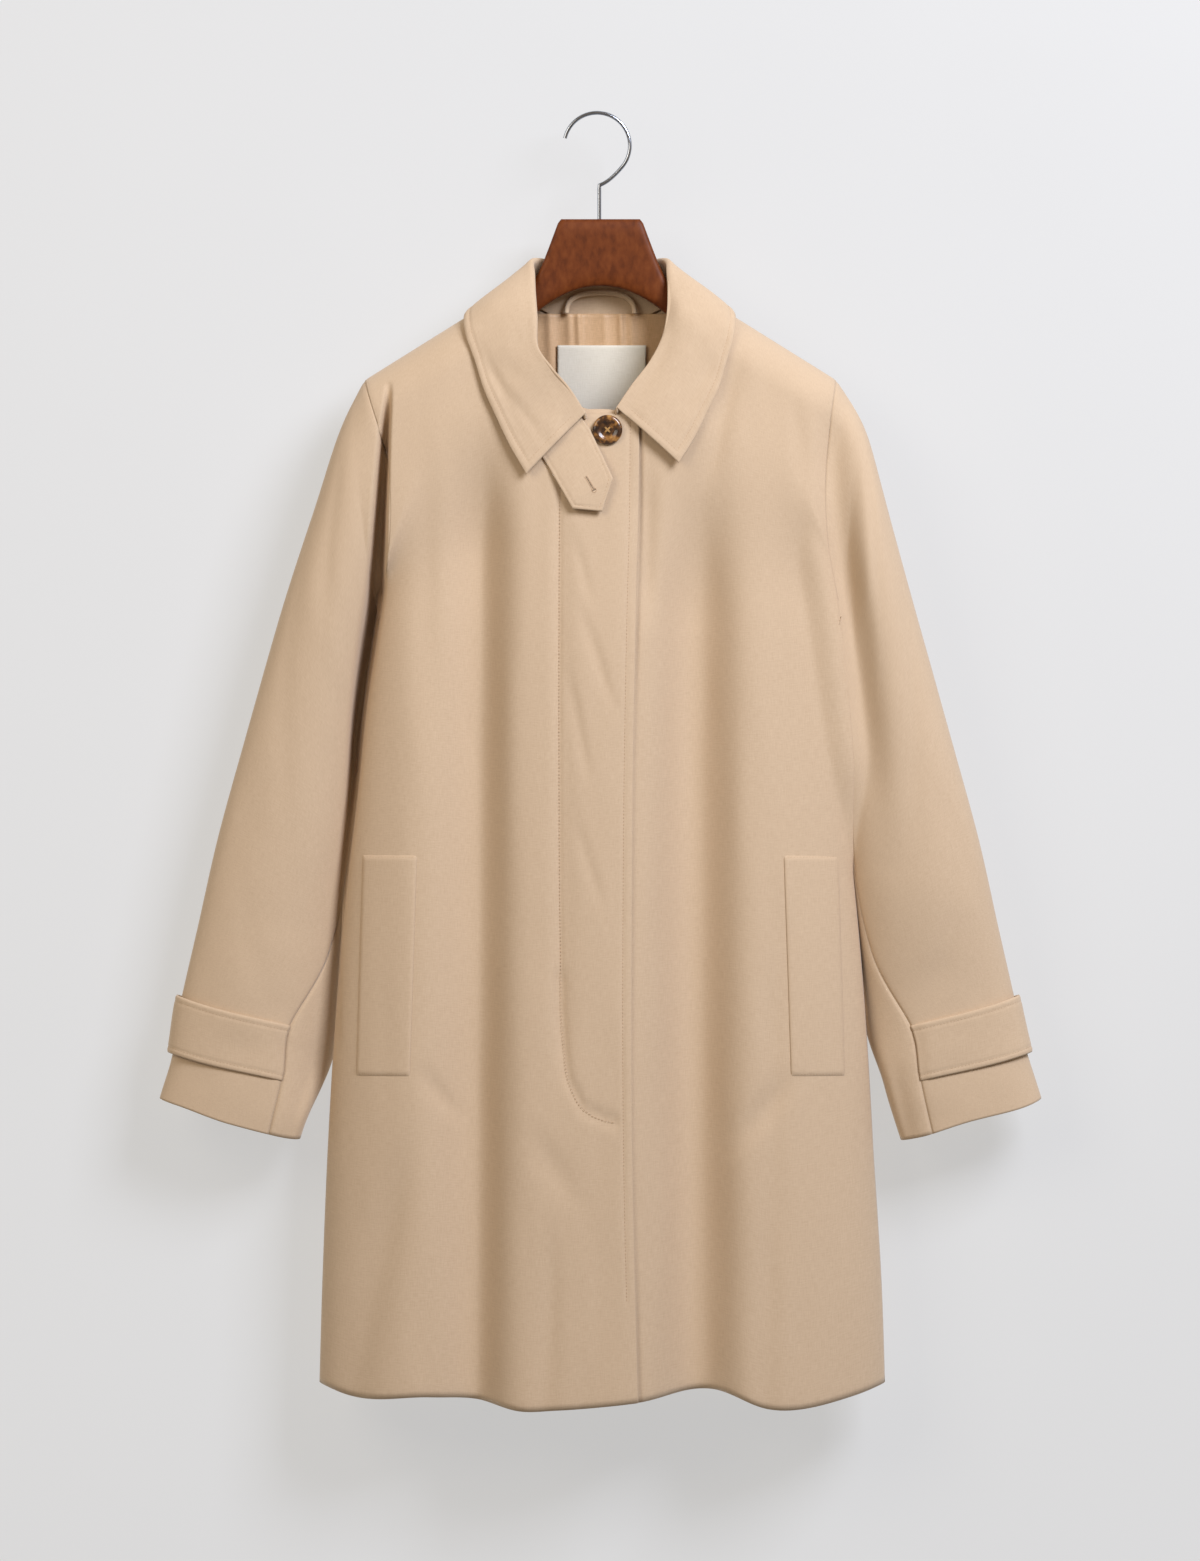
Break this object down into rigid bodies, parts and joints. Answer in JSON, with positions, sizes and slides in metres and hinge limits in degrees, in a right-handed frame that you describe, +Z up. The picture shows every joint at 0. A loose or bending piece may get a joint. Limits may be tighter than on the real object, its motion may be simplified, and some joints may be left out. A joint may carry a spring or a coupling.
{
  "type": "car coat on a clothes hanger",
  "caption": "Single-breasted car coat with a concealed fly front, turn-down collar, throat tab, welt pockets and cuff straps, hung on a wooden clothes hanger with a wire hook.",
  "frame": {"origin": "the underside of the hook's top, where the hanger hangs on a rail", "axes": "+Z up along the hook's stem, the coat's front faces -Y and the wearer's left side is towards +X"},
  "size_m": [0.752, 0.1163, 1.1047],
  "materials": {
    "gabardine": "matte fine twill",
    "lining_satin": "soft satin",
    "label_cloth": "plain weave",
    "horn": "polished tortoise",
    "wood": "satin varnish",
    "chrome": "bright wire"
  },
  "bodies": {
    "root": {"front_right": "gabardine", "front_left": "gabardine", "back": "gabardine", "sleeve_right_top": "gabardine", "sleeve_right_under": "gabardine", "sleeve_left_top": "gabardine", "sleeve_left_under": "gabardine", "cuff_strap_right": "gabardine", "cuff_strap_left": "gabardine", "collar_fall": "gabardine", "collar_stand": "gabardine", "throat_tab": "gabardine", "pocket_welt_right": "gabardine", "pocket_welt_left": "gabardine", "throat_button": "horn", "neck_lining": "lining_satin", "neck_label": "label_cloth", "hanging_loop": "gabardine", "hanger_wood": "wood", "hanger_hook": "chrome"}
  },
  "joints": []
}
